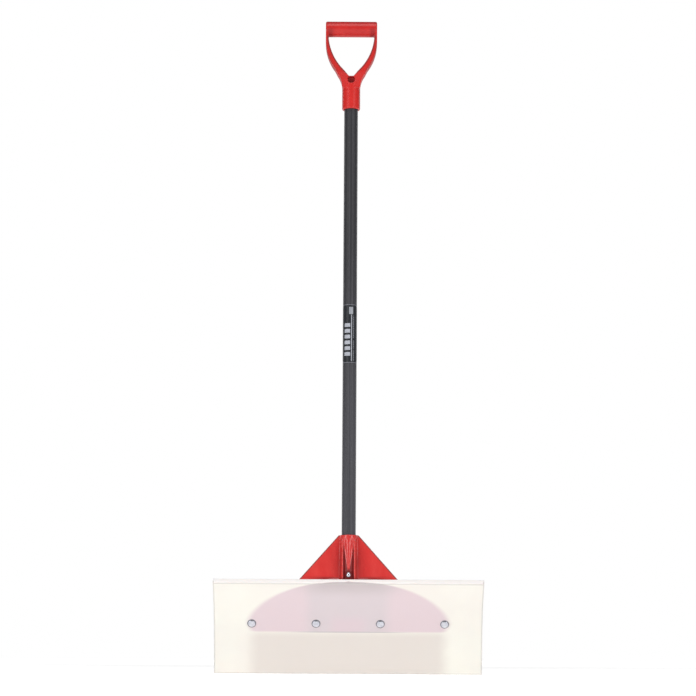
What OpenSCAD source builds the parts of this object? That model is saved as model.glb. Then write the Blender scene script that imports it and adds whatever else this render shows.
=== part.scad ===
// Snow pusher: a curved translucent blade on a moulded bracket, a long tube and a D-shaped grip.
// Millimetres. The tube stands upright along Z, the blade's hollow face looks towards -Y,
// and the middle of the blade's working edge is the origin.

/* [Whole tool] */
// Height from the working edge to the top of the grip
overall_h = 1517; // [1260:1:1830]

/* [Blade] */
// Width of the blade from side to side
blade_w = 610; // [510:1:740]
// Radius of the blade's hollow front face
blade_radius = 263; // [225:1:320]
// Angle of the blade's arc from the working edge to the top edge
blade_arc = 50; // [46:0.5:54]
// Thickness of the blade
blade_t = 12.7; // [9:0.1:16]
// Distance between the bracket and the back of the blade
blade_gap = 0.1; // [0.05:0.05:0.3]

/* [Blade bolts] */
// Distance between neighbouring bolts
bolt_pitch = 146; // [120:1:174]
// Distance along the front face from the working edge up to the bolt row
bolt_rise = 116.5; // [104:0.5:124]
// Thread diameter of the blade bolts
bolt_d = 8; // [6:0.5:10]
// Diameter of a bolt's domed head
bolt_head_d = 20.2; // [17:0.1:24]
// Height of a bolt's domed head
bolt_head_h = 4.6; // [3.6:0.1:5.6]
// Length of the square neck below the head
bolt_neck_h = 5; // [4:0.5:7]
// Length of thread that shows past a nut
bolt_tail = 3; // [2:0.5:5]
// Depth of the flat seat under a head
head_seat = 0.5; // [0.4:0.1:1]

/* [Washers and nuts] */
// Thickness of a blade washer
washer_t = 1.6; // [1.2:0.1:2.4]
// Height of a blade nut with its collar
nut_h = 8; // [6.5:0.5:10]
// Height of the flat pad under a washer
pad_h = 1.2; // [0.8:0.1:2.5]

/* [Bracket] */
// Thickness of the flange behind the blade and of the two wings
sheet_t = 5.5; // [4:0.1:7]
// Depth of the stiffening lip along the bracket's edge
lip_depth = 13; // [9:0.5:16]
// Width of that lip
lip_w = 4; // [3:0.1:5]
// Height of the bracket's collar above the blade's top edge
fan_rise = 100.5; // [84:0.5:120]
// How far the fan's top stands out beside the tube
fan_top_side = 6.5; // [5:0.5:10]
// Width of the fan where it meets the blade's top edge
fan_mid_w = 221; // [182:1:250]
// Radius of the flange's rounded ends
fan_end_r = 23.5; // [20:0.5:24]
// How far the end circles stand inside the outer bolts
fan_end_inset = 7; // [3:0.5:9]
// Lean of the wings from the tube's direction
wing_lean = 13; // [11:0.5:15]
// Distance from the blade's top edge back to the front of the tube
tube_setback = 7.5; // [7:0.5:12]
// Distance from a rib's middle to the outside of the tube
rib_inset = 2.1; // [1:0.1:3]
// Thickness of an upright rib
rib_t = 2.8; // [2:0.1:3.4]
// How far the front ribs stand out at the blade's top edge
rib_proud = 1.8; // [1:0.1:2.5]

/* [Tube] */
// Outer diameter of the tube
tube_d = 32; // [26.6:0.1:38.4]
// Wall thickness of the tube
tube_wall = 3; // [2:0.1:4]
// Gap all round between the tube and its two sockets
tube_fit = 0.2; // [0.1:0.05:0.3]
// Wall of the bracket's socket
boss_wall = 2.7; // [2.4:0.1:4]
// Distance from the blade's top edge down to the tube's lower end
tube_dip = 3; // [1:0.5:4]
// Distance from the tube's lower end up to the bolt through it
handle_bolt_rise = 13; // [12:0.5:15]
// Thread diameter of the bolt through the tube
handle_bolt_d = 6; // [5:0.5:7]
// Diameter of that bolt's domed head
handle_head_d = 12; // [10:0.5:13]
// Height of that head
handle_head_h = 3.9; // [3:0.1:4.5]

/* [Label] */
// Height of the label's lower end above the working edge
label_z = 703; // [500:0.5:850]
// Length of the label along the tube
label_h = 138; // [110:1:170]
// Angle of the tube that the label covers
label_wrap = 176; // [120:2:300]
// Thickness of the label
label_t = 0.25; // [0.15:0.05:0.4]

/* [Grip] */
// Diameter of the hand bar
bar_d = 36.5; // [30.5:0.5:43.5]
// Width of the grip across the arms
grip_w = 120.4; // [102:0.2:144]
// Radius of the arms' outer curve
arm_outer_r = 112; // [106:1:126]
// Radius of the hand opening's side curve
arm_inner_r = 125; // [115:1:130]
// Thickness of an arm where it meets the bar
arm_root = 6.2; // [3:0.1:8]
// Height of the grip from the bar's centre to the collar's lower rim
grip_drop = 195.5; // [185:0.5:234]
// Height of the collar's straight part
collar_h = 52; // [50:1:62]
// Wall of the collar around the tube
collar_wall = 4.9; // [4:0.05:5.9]
// Thickness of the arms from front to back
arm_depth = 28; // [24:0.5:34]
// Depth of the moulded pocket below the hand opening
pocket_depth = 7; // [3:0.5:9]
// Width of that pocket
pocket_w = 16.4; // [12:0.2:18]
// Length of tube inside the collar
grip_insert = 60; // [50:1:64]
// Thread diameter of the screw at the collar's back
grip_screw_d = 4.8; // [4:0.1:5.5]

/* [Hidden] */
$fn = 96;
// Bolts in the row, each with a washer, a nut and a locking ring
bolt_count = 4;
// Overlap that makes cuts run clean through
cut = 1;
// How far solids of one piece run into each other
bite = 0.4;
// Clearance round a screw thread in a nut, in a hole and in a washer
thread_fit = 0.05;
hole_fit = 0.4;
washer_fit = 0.2;
// Clearance round a bolt's square neck, and the chamfer at its end
neck_fit = 0.15;
bolt_chamfer = 0.8;
// A nut's width and the size of its locking ring, as shares of the thread and of its height
nut_share = 1.625;
ring_share = 0.66;
ring_h_share = 0.22;
ring_sink = 0.3;
ring_fit = 0.02;
// Slopes of a nut's chamfers, as shares of its corner radius and of its height
nut_low_slope = 1.6;
nut_high_slope = 0.55;
nut_high_share = 0.86;
// Distance that flat shapes and cuts run past the solid they trim
past = 20;

// The blade and the bracket's flange share one arc centre, at height zero in front of the blade.
arc_y = -blade_radius - blade_t / 2;
back_r = blade_radius + blade_t;
flange_r = back_r + blade_gap;
flange_out_r = flange_r + sheet_t;
ridge_y = arc_y + flange_r * cos(blade_arc);
ridge_z = flange_r * sin(blade_arc);
bolt_angle = bolt_rise / blade_radius * 180 / PI;
bolt_span = bolt_pitch * (bolt_count - 1) / 2;
bolt_hole_r = bolt_d / 2 + hole_fit;
bolt_z = flange_r * sin(bolt_angle);
// Stations along a blade bolt, counted back from the front face
flange_start = blade_t + blade_gap;
pad_end = flange_start + sheet_t + pad_h;
washer_end = pad_end + washer_t;
nut_end = washer_end + nut_h;
bolt_end = nut_end + bolt_tail;

tube_r = tube_d / 2;
tube_y = ridge_y + tube_setback + tube_r;
rib_pitch = tube_d - 2 * rib_inset;
fan_top_w = tube_d + 2 * fan_top_side;
tube_low = ridge_z - tube_dip;
tube_bore_r = tube_r + tube_fit;
boss_r = tube_bore_r + boss_wall;
fan_top = ridge_z + fan_rise;
handle_bolt_z = tube_low + handle_bolt_rise;
// Rim round the top of the bracket's socket
collar_zone = 9.5;
collar_lip = 1.4;
// Round pads on the flange and behind the socket
pad_edge = 3;
socket_pad_r = 8;
socket_pad_h = 1.5;
// Flat seat of the bolt through the tube, cut into the socket's wall
socket_seat_y = boss_r - 0.5;
handle_head_fit = 0.6;
handle_washer_t = 1.6;
handle_nut_y = boss_r + socket_pad_h + handle_washer_t;
handle_nut_h = handle_bolt_d;
// Upright ribs, the channel and the tongue between them
rib_foot_turn = 3;
rib_heel_y = 20;
rib_heel_z = 30;
rib_seat = 1;
rib_foot_share = 0.9;
rib_top_lean = 5;
fan_top_drop = 0.5;
channel_drop = 1.5;
rib_top_cut = 6;
rib_tail_drop = 26;
tongue_low_r = 1.4;
tongue_side = 1.2;
tongue_proud = 1.6;
tongue_rise = 18;
socket_low = sqrt(pow(flange_r + sheet_t / 2, 2) - pow(tube_y + boss_r - arc_y, 2));
flange_low = asin((bolt_z - fan_end_r) / flange_out_r);
end_x = bolt_span - fan_end_inset;
channel_w = rib_pitch - rib_t;

bar_r = bar_d / 2;
bar_z = overall_h - bar_r;
collar_r = tube_bore_r + collar_wall;
collar_low = bar_z - grip_drop;
tube_high = collar_low + grip_insert;
arm_x = grip_w / 2;
// Heights in the grip, counted from the bar's centre
outer_curve_z = -1.78 * bar_r;
inner_curve_z = -0.72 * bar_r;
outer_turn = 37;
inner_turn = 46;
collar_top = collar_h - grip_drop;
// Turns of the arms' curves, half the width of the opening's foot and the slope beside it
crotch_half = 5.4;
crotch_slope = 1.28;
foot_curve_r = 53;
// Screw behind the collar
screw_reach = collar_wall + tube_wall + 3;
screw_point = 2.5;
screw_head_share = 1.9;
screw_head_h_share = 0.65;
screw_seat = 0.6;
// Cone above the collar that fills the space between the arms
shoulder_h = 14;
shoulder_top_r = 6;
// Room left above the tube's upper end inside the collar
tube_end_gap = 1.5;
// Pocket's middle above the collar and the height of its straight upper part
pocket_rise = 17;
pocket_open = 6;
// Where the arms reach their full depth below the bar and above the collar
arm_full_drop = 3.2 * bar_r;
arm_full_rise = 38;
arm_side_cut = 1.2;
arm_foot = 4;
// Rounded rims of the grip
end_round = 2.2;
collar_round_h = 2.5;
collar_round_w = 1.3;

// Points of an arc about a centre, as x and height
function arc_points(cx, cz, r, a0, a1, n = 14) =
  [for (i = [0:n]) let(a = a0 + (a1 - a0) * i / n) [cx + r * cos(a), cz + r * sin(a)]];

// The same points on the other side, in reverse order
function mirrored(pts) =
  [for (i = [len(pts) - 1:-1:0]) [-pts[i][0], pts[i][1]]];

// Corner of an outline moved inwards by d between two outward normals
function mitre(p, n1, n2, d) = p - (n1 + n2) * d / (1 + n1 * n2);
function outward(a, b) = [a[1] - b[1], b[0] - a[0]] / norm(b - a);

// Draws a flat shape of depth and height as a slab of width w across the tool
module across(w) {
  translate([-w / 2, 0, 0])
    rotate([90, 0, 90])
      linear_extrude(w)
        children();
}

// Part of a ring round the blade's arc centre
module arc_sheet(r, t, a0, a1, w) {
  translate([0, arc_y, 0])
    rotate([90, 0, 90])
      rotate([0, 0, a0])
        rotate_extrude(angle = a1 - a0, $fn = 240)
          translate([r, -w / 2])
            square([t, w]);
}

// Cylinder about the blade's arc centre
module arc_core(r, w) {
  translate([-w / 2, arc_y, 0])
    rotate([0, 90, 0])
      cylinder(r = r, h = w, $fn = 240);
}

// Places a bolt's parts: z = 0 on the blade's front face, running backwards
module on_bolt(i) {
  translate([
    bolt_pitch * i - bolt_span,
    arc_y + blade_radius * cos(bolt_angle),
    blade_radius * sin(bolt_angle)
  ])
    rotate([bolt_angle - 90, 0, 0])
      children();
}

// Places the parts of the bolt through the tube: z = 0 on the tube axis, running backwards
module on_handle_bolt() {
  translate([0, tube_y, handle_bolt_z])
    rotate([-90, 0, 0])
      children();
}

module ring(r_out, r_in, h) {
  difference() {
    cylinder(r = r_out, h = h);
    translate([0, 0, -cut])
      cylinder(r = r_in, h = h + 2 * cut);
  }
}

// Low dome with a straight rim, its flat side on z = 0, rising towards -Z
module dome(d, h) {
  rim = h * 0.2;
  rise = h - rim;
  dome_r = (pow(d / 2, 2) + pow(rise, 2)) / (2 * rise);
  intersection() {
    translate([0, 0, -h])
      cylinder(r = d / 2, h = h);
    translate([0, 0, dome_r - h])
      sphere(r = dome_r);
  }
}

// Hexagonal nut with chamfered corners and a recess for the locking ring
module lock_nut(thread_d, h) {
  corner_r = thread_d * nut_share / sqrt(3);
  recess = h * ring_h_share + ring_sink;
  difference() {
    intersection() {
      cylinder(r = corner_r, h = h, $fn = 6);
      translate([0, 0, -corner_r])
        cylinder(r1 = 0, r2 = (h + corner_r) * nut_low_slope, h = h + corner_r);
      cylinder(r1 = corner_r + h * nut_high_slope, r2 = corner_r * nut_high_share, h = h);
    }
    translate([0, 0, -cut])
      cylinder(r = thread_d / 2 + thread_fit, h = h + 2 * cut);
    translate([0, 0, h - recess])
      cylinder(r = thread_d * ring_share, h = recess + cut);
  }
}

// The nylon ring in that recess
module lock_ring(thread_d, h) {
  translate([0, 0, h - h * ring_h_share - ring_sink])
    ring(thread_d * ring_share - ring_fit, thread_d / 2 + thread_fit, h * ring_h_share);
}

module blade() {
  color([0.95, 0.95, 0.93])
    difference() {
      arc_sheet(blade_radius, blade_t, 0, blade_arc, blade_w);
      for (i = [0:bolt_count - 1])
        on_bolt(i) {
          translate([0, 0, -cut])
            cylinder(r = bolt_hole_r, h = blade_t + 3 * cut);
          translate([0, 0, -cut])
            cylinder(r = bolt_head_d / 2 + hole_fit, h = head_seat + cut);
          translate([-bolt_d / 2 - neck_fit, -bolt_d / 2 - neck_fit, 0])
            cube([bolt_d + 2 * neck_fit, bolt_d + 2 * neck_fit, head_seat + bolt_neck_h + hole_fit]);
        }
    }
}

module blade_bolt(i) {
  color([0.80, 0.81, 0.83])
    on_bolt(i)
      translate([0, 0, head_seat]) {
        dome(bolt_head_d, bolt_head_h);
        translate([-bolt_d / 2, -bolt_d / 2, -bite])
          cube([bolt_d, bolt_d, bolt_neck_h + bite]);
        cylinder(r = bolt_d / 2, h = bolt_end - head_seat - bolt_chamfer);
        translate([0, 0, bolt_end - head_seat - bolt_chamfer])
          cylinder(r1 = bolt_d / 2, r2 = bolt_d / 2 - bolt_chamfer, h = bolt_chamfer);
      }
}

module blade_washer(i) {
  color([0.74, 0.75, 0.77])
    on_bolt(i)
      translate([0, 0, pad_end])
        ring(bolt_d, bolt_d / 2 + washer_fit, washer_t);
}

module blade_nut(i) {
  color([0.70, 0.71, 0.73])
    on_bolt(i)
      translate([0, 0, washer_end])
        lock_nut(bolt_d, nut_h);
}

module nut_insert(i) {
  color([0.20, 0.32, 0.62])
    on_bolt(i)
      translate([0, 0, washer_end])
        lock_ring(bolt_d, nut_h);
}

// Front outline of the fan, moved inwards by d; drawn as width and height
module fan_outline(d) {
  top_pt = [fan_top_w / 2, fan_top - fan_top_drop];
  mid_pt = [fan_mid_w / 2, ridge_z];
  end_pt = [end_x, bolt_z];
  reach = end_pt - mid_pt;
  fall = atan2(reach[1], reach[0]) + asin(fan_end_r / norm(reach));
  side_n = outward(mid_pt, top_pt) * -1;
  low_n = [cos(fall + 90), sin(fall + 90)];
  a = mitre(top_pt, [0, 1], side_n, d);
  b = mitre(mid_pt, side_n, low_n, d);
  right = concat([a, b], arc_points(end_x, bolt_z, fan_end_r - d, fall + 90, -90, 18));
  polygon(concat(right, mirrored(right)));
}

// Everything behind the wings' front plane moved back by t
module wing_block(t) {
  dir = [sin(wing_lean), cos(wing_lean)];
  start = [ridge_y, ridge_z] + t * [cos(wing_lean), -sin(wing_lean)];
  high = start + dir * (fan_rise + 2 * past);
  low = start - dir * (ridge_z + past);
  across(2 * (end_x + fan_end_r + past))
    polygon([low, high, [high[0] + fan_mid_w, high[1]], [high[0] + fan_mid_w, low[1]]]);
}

// The same space, also behind the flange's curve moved back by t
module wing_space(t) {
  difference() {
    wing_block(t);
    arc_core(flange_r + t, 2 * (end_x + fan_end_r + 2 * past));
  }
}

module through_fan(d) {
  translate([0, ridge_y + flange_r, 0])
    rotate([90, 0, 0])
      linear_extrude(2 * flange_r)
        fan_outline(d);
}

// The bent sheet with its lip, still uncut on the blade's side
module fan() {
  difference() {
    intersection() {
      wing_block(0);
      through_fan(0);
    }
    wing_space(lip_depth);
    intersection() {
      wing_space(sheet_t);
      through_fan(lip_w);
    }
    // Open channel in front of the socket
    translate([-channel_w / 2, ridge_y - past, ridge_z - channel_drop])
      cube([channel_w, past + tube_setback + tube_d, fan_rise - collar_zone + channel_drop]);
  }
}

// Upright ribs in front of the socket and gussets behind it
module ribs() {
  top_z = fan_top - collar_zone;
  front_y = tube_y - boss_r - rib_seat;
  back_y = tube_y + boss_r - 2 * rib_seat;
  foot_turn = flange_low + rib_foot_turn;
  foot = [arc_y + flange_out_r * cos(foot_turn), flange_out_r * sin(foot_turn)];
  for (s = [-1, 1])
    translate([s * rib_pitch / 2, 0, 0])
      across(rib_t)
        polygon([
          [ridge_y - rib_proud, ridge_z + rib_foot_share * rib_proud],
          [front_y, top_z - rib_top_cut],
          [front_y + rib_top_lean, top_z],
          [back_y, fan_top - rib_tail_drop],
          foot,
          [back_y - rib_heel_y, socket_low - rib_heel_z]
        ]);
}

// Tapering tongue that runs down the front of the socket
module tongue() {
  high_r = channel_w / 2 - tongue_side;
  tongue_h = fan_rise - collar_zone - tongue_rise;
  tilt = atan((high_r - tongue_low_r) / tongue_h);
  translate([0, tube_y - boss_r - tongue_proud + tongue_low_r, fan_top - collar_zone - tongue_h])
    rotate([-tilt, 0, 0])
      cylinder(r1 = tongue_low_r, r2 = high_r, h = tongue_h / cos(tilt));
}

module blade_bracket() {
  color([0.80, 0.10, 0.09])
    difference() {
      union() {
        fan();
        ribs();
        tongue();
        translate([0, tube_y, socket_low])
          cylinder(r = boss_r, h = fan_top - socket_low - 3 * cut);
        translate([0, tube_y, fan_top - collar_zone])
          cylinder(r = boss_r + collar_lip, h = collar_zone - cut);
        translate([0, tube_y, fan_top - cut])
          cylinder(r1 = boss_r + collar_lip, r2 = boss_r + collar_lip - cut, h = cut);
        on_handle_bolt()
          cylinder(r = socket_pad_r, h = boss_r + socket_pad_h);
        for (i = [0:bolt_count - 1])
          on_bolt(i)
            translate([0, 0, flange_start + sheet_t / 2])
              cylinder(r = bolt_d + pad_edge, h = sheet_t / 2 + pad_h);
      }
      arc_core(flange_r, blade_w);
      translate([0, tube_y, tube_low])
        cylinder(r = tube_bore_r, h = fan_top);
      on_handle_bolt() {
        translate([0, 0, -boss_r - past])
          cylinder(r = handle_bolt_d / 2 + hole_fit, h = 2 * (boss_r + past));
        translate([0, 0, -socket_seat_y - past])
          cylinder(r = handle_head_d / 2 + handle_head_fit, h = past);
      }
      for (i = [0:bolt_count - 1])
        on_bolt(i)
          translate([0, 0, flange_start - sheet_t])
            cylinder(r = bolt_hole_r, h = 2 * sheet_t + pad_h + cut);
    }
}

module handle_tube() {
  color([0.20, 0.20, 0.22])
    difference() {
      translate([0, tube_y, tube_low])
        cylinder(r = tube_r, h = tube_high - tube_low);
      translate([0, tube_y, tube_low - cut])
        cylinder(r = tube_r - tube_wall, h = tube_high - tube_low + 2 * cut);
      on_handle_bolt()
        translate([0, 0, -tube_r - cut])
          cylinder(r = handle_bolt_d / 2 + hole_fit, h = tube_d + 2 * cut);
      on_grip_screw()
        translate([0, 0, -screw_reach])
          cylinder(r = grip_screw_d / 2 + thread_fit, h = screw_reach);
    }
}

module tube_label() {
  color([0.07, 0.08, 0.09])
    translate([0, tube_y, label_z])
      rotate([0, 0, -90 - label_wrap / 2])
        rotate_extrude(angle = label_wrap)
          translate([tube_r, 0])
            square([label_t, label_h]);
}

module handle_bolt() {
  shank = socket_seat_y + handle_nut_y + handle_nut_h + bolt_tail;
  color([0.82, 0.83, 0.85])
    on_handle_bolt()
      translate([0, 0, -socket_seat_y]) {
        dome(handle_head_d, handle_head_h);
        translate([0, 0, -bite])
          cylinder(r = handle_bolt_d / 2, h = shank + bite);
      }
}

module handle_washer() {
  color([0.74, 0.75, 0.77])
    on_handle_bolt()
      translate([0, 0, boss_r + socket_pad_h])
        ring(handle_bolt_d, handle_bolt_d / 2 + washer_fit, handle_washer_t);
}

module handle_nut() {
  color([0.70, 0.71, 0.73])
    on_handle_bolt()
      translate([0, 0, handle_nut_y])
        lock_nut(handle_bolt_d, handle_nut_h);
}

module handle_nut_insert() {
  color([0.20, 0.32, 0.62])
    on_handle_bolt()
      translate([0, 0, handle_nut_y])
        lock_ring(handle_bolt_d, handle_nut_h);
}

// Places the screw behind the collar: z = 0 on its seat, pointing backwards
module on_grip_screw() {
  translate([0, tube_y + collar_r - screw_seat, collar_low + grip_insert / 2])
    rotate([-90, 0, 0])
      children();
}

module grip_screw() {
  color([0.62, 0.63, 0.65])
    on_grip_screw() {
      mirror([0, 0, 1])
        dome(grip_screw_d * screw_head_share, grip_screw_d * screw_head_h_share);
      translate([0, 0, screw_point - screw_reach])
        cylinder(r = grip_screw_d / 2, h = screw_reach - screw_point + bite / 4);
      translate([0, 0, -screw_reach])
        cylinder(r1 = bite, r2 = grip_screw_d / 2, h = screw_point);
    }
}

// Outline of the two arms with the hand opening, counted from the bar's centre
module arm_outline() {
  outer_top = arc_points(arm_x - arm_outer_r, outer_curve_z, arm_outer_r, 0, -outer_turn);
  side_x = collar_r - 0.1;
  foot = arc_points(side_x + foot_curve_r, collar_top, foot_curve_r, 180 - outer_turn, 180);
  inner_x = arm_x - arm_root;
  inner = arc_points(inner_x - arm_inner_r, inner_curve_z, arm_inner_r, -inner_turn, 0);
  crotch_z = inner[0][1] - (inner[0][0] - crotch_half) * crotch_slope;
  right = concat([[arm_x, 0]], outer_top, foot, [[side_x, collar_top - arm_foot]]);
  opening = concat([[crotch_half, crotch_z]], inner, [[inner_x, 0]]);
  difference() {
    polygon(concat(right, mirrored(right)));
    polygon(concat(opening, mirrored(opening)));
  }
}

// Side outline that thins the arms between the bar and the collar
module arm_side() {
  half = arm_depth / 2;
  polygon([
    [-half - 2 * cut, 0], [half + 2 * cut, 0],
    [half, -arm_full_drop], [half, collar_top + arm_full_rise],
    [collar_r - arm_side_cut, collar_top - cut], [arm_side_cut - collar_r, collar_top - cut],
    [-half, collar_top + arm_full_rise], [-half, -arm_full_drop]
  ]);
}

module d_grip() {
  color([0.84, 0.13, 0.11])
    translate([0, tube_y, bar_z])
      difference() {
        union() {
          translate([end_round - arm_x, 0, 0])
            rotate([0, 90, 0])
              cylinder(r = bar_r, h = grip_w - 2 * end_round);
          for (s = [0, 1])
            mirror([s, 0, 0])
              translate([arm_x - end_round, 0, 0])
                rotate([0, 90, 0])
                  cylinder(r1 = bar_r, r2 = bar_r - end_round, h = end_round);
          intersection() {
            translate([0, collar_r + past, 0])
              rotate([90, 0, 0])
                linear_extrude(2 * (collar_r + past))
                  arm_outline();
            across(grip_w + past)
              arm_side();
          }
          translate([0, 0, collar_round_h - grip_drop])
            cylinder(r = collar_r, h = collar_h - collar_round_h + shoulder_h);
          translate([0, 0, -grip_drop])
            cylinder(r1 = collar_r - collar_round_w, r2 = collar_r, h = collar_round_h);
          translate([0, 0, collar_top + shoulder_h])
            cylinder(r1 = collar_r, r2 = shoulder_top_r, h = shoulder_h);
        }
        translate([0, 0, -grip_drop - cut])
          cylinder(r = tube_bore_r, h = grip_insert + tube_end_gap + cut);
        // Moulded pocket at the front below the hand opening
        translate([0, -collar_r - cut, collar_top + pocket_rise])
          rotate([-90, 0, 0]) {
            cylinder(r = pocket_w / 2, h = collar_r + cut - arm_depth / 2 + pocket_depth);
            translate([-pocket_w / 2, -pocket_open, 0])
              cube([pocket_w, pocket_open, collar_r + cut - arm_depth / 2 + pocket_depth]);
          }
        translate([0, -tube_y, -bar_z])
          on_grip_screw() {
            cylinder(r = grip_screw_d, h = collar_wall);
            translate([0, 0, -collar_wall - 2 * cut])
              cylinder(r = grip_screw_d / 2 + thread_fit, h = collar_wall + 3 * cut);
          }
      }
}

blade();
blade_bracket();
handle_tube();
tube_label();
d_grip();
grip_screw();
handle_bolt();
handle_washer();
handle_nut();
handle_nut_insert();
blade_bolt(0);  // blade_bolt_1
blade_bolt(1);  // blade_bolt_2
blade_bolt(2);  // blade_bolt_3
blade_bolt(3);  // blade_bolt_4
blade_washer(0);  // blade_washer_1
blade_washer(1);  // blade_washer_2
blade_washer(2);  // blade_washer_3
blade_washer(3);  // blade_washer_4
blade_nut(0);  // blade_nut_1
blade_nut(1);  // blade_nut_2
blade_nut(2);  // blade_nut_3
blade_nut(3);  // blade_nut_4
nut_insert(0);  // nut_insert_1
nut_insert(1);  // nut_insert_2
nut_insert(2);  // nut_insert_3
nut_insert(3);  // nut_insert_4
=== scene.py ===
import math

import bmesh
import bpy
from mathutils import Matrix, Vector


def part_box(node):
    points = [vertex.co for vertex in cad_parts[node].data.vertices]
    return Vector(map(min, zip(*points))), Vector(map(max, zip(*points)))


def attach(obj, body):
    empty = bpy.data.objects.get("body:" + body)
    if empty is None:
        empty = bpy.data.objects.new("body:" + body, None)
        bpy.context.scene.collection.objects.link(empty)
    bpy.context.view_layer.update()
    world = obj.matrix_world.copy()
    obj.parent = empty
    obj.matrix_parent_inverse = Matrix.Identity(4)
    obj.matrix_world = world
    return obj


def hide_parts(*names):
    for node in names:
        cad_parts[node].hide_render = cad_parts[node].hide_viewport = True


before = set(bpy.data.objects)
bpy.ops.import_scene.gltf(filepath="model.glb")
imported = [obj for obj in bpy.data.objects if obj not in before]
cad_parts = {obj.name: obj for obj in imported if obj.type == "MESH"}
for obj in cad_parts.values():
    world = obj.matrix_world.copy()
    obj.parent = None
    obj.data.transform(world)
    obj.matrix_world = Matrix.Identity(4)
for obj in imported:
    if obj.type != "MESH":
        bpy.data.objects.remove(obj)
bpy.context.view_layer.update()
print("snow pusher: frame loaded")


class Wire:
    # one output of a finish; plain maths on it adds Math nodes
    def __init__(self, finish, socket):
        self.finish = finish
        self.socket = socket

    def calc(self, operation, first, second=None):
        inputs = {0: first} if second is None else {0: first, 1: second}
        return self.finish.node("ShaderNodeMath", {"operation": operation}, inputs)

    def __add__(self, other):
        return self.calc("ADD", self, other)

    def __radd__(self, other):
        return self.calc("ADD", other, self)

    def __sub__(self, other):
        return self.calc("SUBTRACT", self, other)

    def __rsub__(self, other):
        return self.calc("SUBTRACT", other, self)

    def __mul__(self, other):
        return self.calc("MULTIPLY", self, other)

    def __rmul__(self, other):
        return self.calc("MULTIPLY", other, self)

    def __truediv__(self, other):
        return self.calc("DIVIDE", self, other)

    def __rtruediv__(self, other):
        return self.calc("DIVIDE", other, self)

    def __pow__(self, other):
        return self.calc("POWER", self, other)

    def __neg__(self):
        return self.calc("MULTIPLY", self, -1.0)

    def __abs__(self):
        return self.calc("ABSOLUTE", self)

    def atLeast(self, other):
        return self.calc("MAXIMUM", self, other)

    def atMost(self, other):
        return self.calc("MINIMUM", self, other)

    def fade(self, start, end):
        # 0 before start and 1 after end, with a smooth step between
        return self.finish.node(
            "ShaderNodeMapRange",
            {"interpolation_type": "SMOOTHSTEP", "clamp": True},
            {"Value": self, "From Min": start, "From Max": end, "To Min": 0.0, "To Max": 1.0},
        )


class Finish:
    # a material built from one Principled shader
    def __init__(self, name):
        self.material = bpy.data.materials.new(name)
        self.material.use_nodes = True
        self.tree = self.material.node_tree
        self.tree.nodes.clear()
        self.shader = self.tree.nodes.new("ShaderNodeBsdfPrincipled")
        output = self.tree.nodes.new("ShaderNodeOutputMaterial")
        self.tree.links.new(self.shader.outputs[0], output.inputs["Surface"])
        self.place = self.node("ShaderNodeTexCoord", out="Object")
        split = self.tree.nodes.new("ShaderNodeSeparateXYZ")
        self.tree.links.new(self.place.socket, split.inputs[0])
        self.x = Wire(self, split.outputs[0])
        self.y = Wire(self, split.outputs[1])
        self.z = Wire(self, split.outputs[2])

    def node(self, kind, settings=None, inputs=None, out=0):
        made = self.tree.nodes.new(kind)
        for key, value in (settings or {}).items():
            if key == "stops":
                ramp = made.color_ramp
                while len(ramp.elements) < len(value):
                    ramp.elements.new(1.0)
                for element, (spot, colour) in zip(ramp.elements, value):
                    element.position = spot
                    element.color = (*colour, 1.0)
            else:
                setattr(made, key, value)
        for key, value in (inputs or {}).items():
            if isinstance(value, Wire):
                self.tree.links.new(value.socket, made.inputs[key])
            else:
                made.inputs[key].default_value = value
        return Wire(self, made.outputs[out])

    def set(self, **values):
        for key, value in values.items():
            socket = self.shader.inputs[key.replace("_", " ")]
            if isinstance(value, Wire):
                self.tree.links.new(value.socket, socket)
            else:
                socket.default_value = value
        return self

    def mix(self, factor, first, second):
        first = (*first, 1.0) if isinstance(first, tuple) else first
        second = (*second, 1.0) if isinstance(second, tuple) else second
        inputs = {0: factor, 6: first, 7: second}
        return self.node("ShaderNodeMix", {"data_type": "RGBA"}, inputs, out=2)

    def stretched(self, sx, sy, sz):
        # object coordinates scaled along each axis
        inputs = {0: self.place, 1: (sx, sy, sz)}
        return self.node("ShaderNodeVectorMath", {"operation": "MULTIPLY"}, inputs)

    def noise(self, scale, detail=2.0, roughness=0.5, at=None):
        return self.node(
            "ShaderNodeTexNoise", {},
            {"Vector": at or self.place, "Scale": scale, "Detail": detail, "Roughness": roughness},
        )

    def relief(self, height, strength, distance, normal=None):
        # a fine surface; normal is an earlier relief to build on
        inputs = {"Height": height, "Strength": strength, "Distance": distance}
        if normal is not None:
            inputs["Normal"] = normal
        return self.node("ShaderNodeBump", {}, inputs)

    def edges(self, low, high):
        # 1 on worn outer edges of a dense mesh
        sharpness = self.node("ShaderNodeNewGeometry", out="Pointiness")
        return sharpness.fade(low, high)


def middle(node):
    low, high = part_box(node)
    return (low + high) / 2


bladeShape = {
    "radius": 0.263,        # hollow front face
    "thickness": 0.0127,
    "arc": 50.0,            # degrees from the working edge to the top edge
    "round": 0.0009,        # softened corners of the sheet
    "rises": 44,            # facets up each face
    "strips": 60,           # and along the width
    "boltRise": 0.1165,     # along the front face
}
arcY = -bladeShape["radius"] - bladeShape["thickness"] / 2
tubeAxis = Vector((0.0, middle("handle_tube").y, 0.0))
tubeLow, tubeHigh = (c.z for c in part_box("handle_tube"))
tubeRadius = (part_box("handle_tube")[1].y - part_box("handle_tube")[0].y) / 2
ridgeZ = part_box("blade")[1].z


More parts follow.
